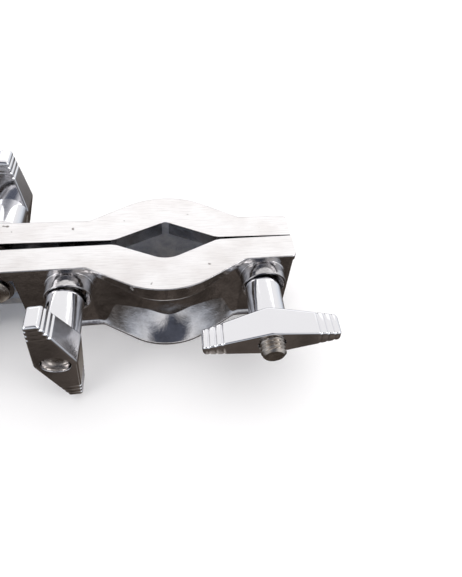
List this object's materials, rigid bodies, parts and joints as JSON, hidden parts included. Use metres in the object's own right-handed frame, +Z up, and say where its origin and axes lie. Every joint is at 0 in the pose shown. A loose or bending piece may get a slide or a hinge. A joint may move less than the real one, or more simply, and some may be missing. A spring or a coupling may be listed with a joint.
{
  "type": "double v clamp",
  "caption": "Two cast jaws with V notches, drawn together by bolts and wing nuts to grip upright tubes or rods side by side.",
  "frame": {"origin": "under the middle of the clamp, in the plane of the castings' flat undersides, on the seam plane of the jaws", "axes": "+X along the jaws towards the V notch whose bolts have their wing nuts in front; +Y from the front jaw to the back jaw; +Z up, along the tubes that the V notches grip"},
  "size_m": [0.199, 0.0794, 0.0462],
  "materials": {
    "cast_aluminium": "polished casting with ground top face",
    "bolt_steel": "plated, worn",
    "washer_steel": "plated",
    "wing_nut_chrome": "chrome plated casting"
  },
  "bodies": {
    "back_jaw": {"back_jaw": "cast_aluminium", "bolt_right_outer": "bolt_steel", "bolt_right_inner": "bolt_steel", "washer_left_inner": "washer_steel", "washer_left_outer": "washer_steel"},
    "front_jaw": {"front_jaw": "cast_aluminium", "bolt_left_inner": "bolt_steel", "bolt_left_outer": "bolt_steel", "washer_right_outer": "washer_steel", "washer_right_inner": "washer_steel"},
    "wing_nut_right_outer": {"wing_nut_right_outer": "wing_nut_chrome"},
    "wing_nut_right_inner": {"wing_nut_right_inner": "wing_nut_chrome"},
    "wing_nut_left_inner": {"wing_nut_left_inner": "wing_nut_chrome"},
    "wing_nut_left_outer": {"wing_nut_left_outer": "wing_nut_chrome"}
  },
  "joints": [
    {"name": "jaw_opening", "type": "slide", "parent": "back_jaw", "child": "front_jaw", "axis": [0, -1, 0], "range_m": [0, 0.015]},
    {"name": "nut_right_outer_turn", "type": "hinge", "parent": "front_jaw", "child": "wing_nut_right_outer", "pos_m": [0.07763, -0.03, 0.02431], "axis": [0, -1, 0], "range_deg": [0, 4321]},
    {"name": "nut_right_inner_turn", "type": "hinge", "parent": "front_jaw", "child": "wing_nut_right_inner", "pos_m": [0.01267, -0.03, 0.02431], "axis": [0, -1, 0], "range_deg": [0, 4321]},
    {"name": "nut_left_inner_turn", "type": "hinge", "parent": "back_jaw", "child": "wing_nut_left_inner", "pos_m": [-0.01267, 0.03, 0.02431], "axis": [0, 1, 0], "range_deg": [0, 4321]},
    {"name": "nut_left_outer_turn", "type": "hinge", "parent": "back_jaw", "child": "wing_nut_left_outer", "pos_m": [-0.07763, 0.03, 0.02431], "axis": [0, 1, 0], "range_deg": [0, 4321]}
  ],
  "couplings": [
    {"joint": "nut_right_outer_turn", "follows": "jaw_opening", "rad_per_m": 5026.5},
    {"joint": "nut_right_inner_turn", "follows": "jaw_opening", "rad_per_m": 5026.5},
    {"joint": "nut_left_inner_turn", "follows": "jaw_opening", "rad_per_m": 5026.5},
    {"joint": "nut_left_outer_turn", "follows": "jaw_opening", "rad_per_m": 5026.5}
  ]
}
